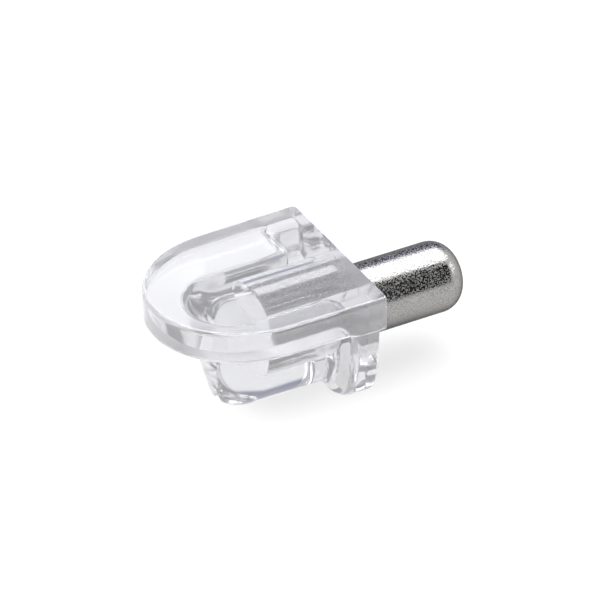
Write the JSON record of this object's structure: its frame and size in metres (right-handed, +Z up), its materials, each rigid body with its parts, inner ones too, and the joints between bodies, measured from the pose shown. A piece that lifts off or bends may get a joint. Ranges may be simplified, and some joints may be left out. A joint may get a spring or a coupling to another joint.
{
  "type": "shelf support pin",
  "caption": "Clear moulded shelf support: a flat seat for the shelf on a round-bottomed boss and wall leg, held on a straight steel pin that plugs into a cabinet side.",
  "frame": {"origin": "on the pin's axis, at the bearing face of the wall leg", "axes": "+X along the pin towards its free end, into the cabinet side; +Z up to the shelf seat; +Y along the cabinet side"},
  "size_m": [0.0232, 0.013, 0.0094],
  "materials": {
    "clear_plastic": "clear moulded plastic, glossy",
    "plated_steel": "bright plating with a fine speckle"
  },
  "bodies": {
    "root": {"clear_support": "clear_plastic", "steel_pin": "plated_steel"}
  },
  "joints": []
}
